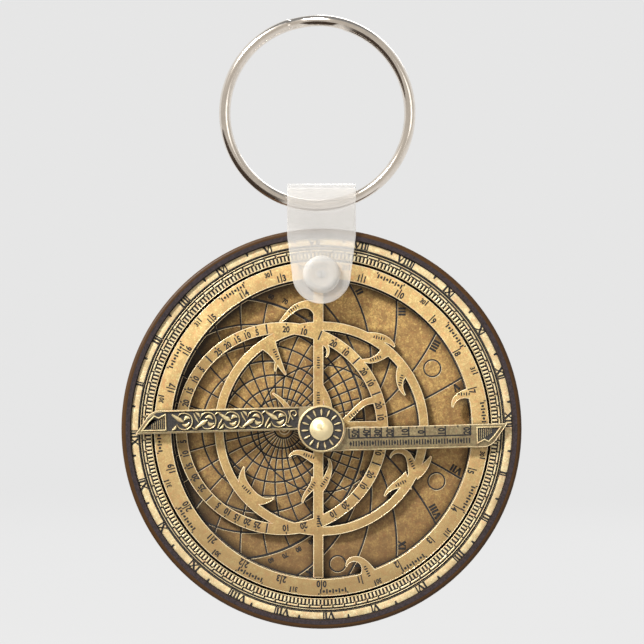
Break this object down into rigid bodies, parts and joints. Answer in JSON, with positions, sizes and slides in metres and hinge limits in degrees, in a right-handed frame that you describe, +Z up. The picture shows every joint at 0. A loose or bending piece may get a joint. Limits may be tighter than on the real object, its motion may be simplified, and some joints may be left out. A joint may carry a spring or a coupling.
{
  "type": "astrolabe key ring",
  "caption": "Working pocket astrolabe in a round dark bezel, with turning rete, rule and alidade, hung by a clear snap strap from a split ring.",
  "frame": {"origin": "the point on the inside of the split ring, at its top, where a hook or nail bears, above the middle of the disc", "axes": "+Z up, +X to the right as seen from the front, -Y out of the front of the disc"},
  "size_m": [0.057, 0.0103, 0.0875],
  "materials": {
    "brown_enamel": "dark brown gloss enamel",
    "limb_brass": "aged brass, engraved and blacked",
    "mater_brass": "aged brass",
    "plate_brass": "darker aged brass, engraved",
    "rete_brass": "aged brass, pierced",
    "rule_brass": "aged brass with raised ornament",
    "polished_brass": "polished",
    "clear_strap": "translucent soft vinyl",
    "snap_plastic": "translucent white, moulded",
    "nickel": "nickel-plated steel, polished"
  },
  "bodies": {
    "split_ring": {"split_ring": "nickel"},
    "strap": {"strap": "clear_strap", "snap_cap": "snap_plastic", "snap_socket": "snap_plastic"},
    "disc": {"bezel": "brown_enamel", "mater": "mater_brass", "hour_ring": "limb_brass", "degree_ring": "limb_brass", "limb_rivets": "mater_brass", "spare_plate": "plate_brass", "plate": "plate_brass", "calendar_ring": "rete_brass", "pin": "polished_brass", "collar": "mater_brass", "back_washer": "mater_brass", "tail_washer": "mater_brass", "horse": "polished_brass"},
    "rete": {"rete": "rete_brass"},
    "rule": {"rule": "rule_brass", "rosette": "rule_brass"},
    "alidade": {"alidade": "rule_brass", "hinge_pins": "polished_brass"},
    "left_vane": {"left_sight_vane": "rule_brass"},
    "right_vane": {"right_sight_vane": "rule_brass"}
  },
  "joints": [
    {"name": "strap_swing", "type": "hinge", "parent": "split_ring", "child": "strap", "pos_m": [0, 0, -0.025], "axis": [1, 0, 0], "range_deg": [-85, 85]},
    {"name": "disc_swivel", "type": "hinge", "parent": "strap", "child": "disc", "pos_m": [0, 0, -0.0354], "axis": [0, -1, 0], "range_deg": [-25, 25]},
    {"name": "rete_turn", "type": "hinge", "parent": "disc", "child": "rete", "pos_m": [0, 0, -0.0574], "axis": [0, -1, 0], "continuous": true},
    {"name": "rule_turn", "type": "hinge", "parent": "disc", "child": "rule", "pos_m": [0, 0, -0.0574], "axis": [0, -1, 0], "range_deg": [-64, 68]},
    {"name": "alidade_turn", "type": "hinge", "parent": "disc", "child": "alidade", "pos_m": [0, 0, -0.0574], "axis": [0, -1, 0], "continuous": true},
    {"name": "left_vane_fold", "type": "hinge", "parent": "alidade", "child": "left_vane", "pos_m": [-0.0129, 0.00325, -0.0574], "axis": [0, 0, 1], "range_deg": [-90, 0]},
    {"name": "right_vane_fold", "type": "hinge", "parent": "alidade", "child": "right_vane", "pos_m": [0.0129, 0.00325, -0.0574], "axis": [0, 0, 1], "range_deg": [0, 90]}
  ]
}
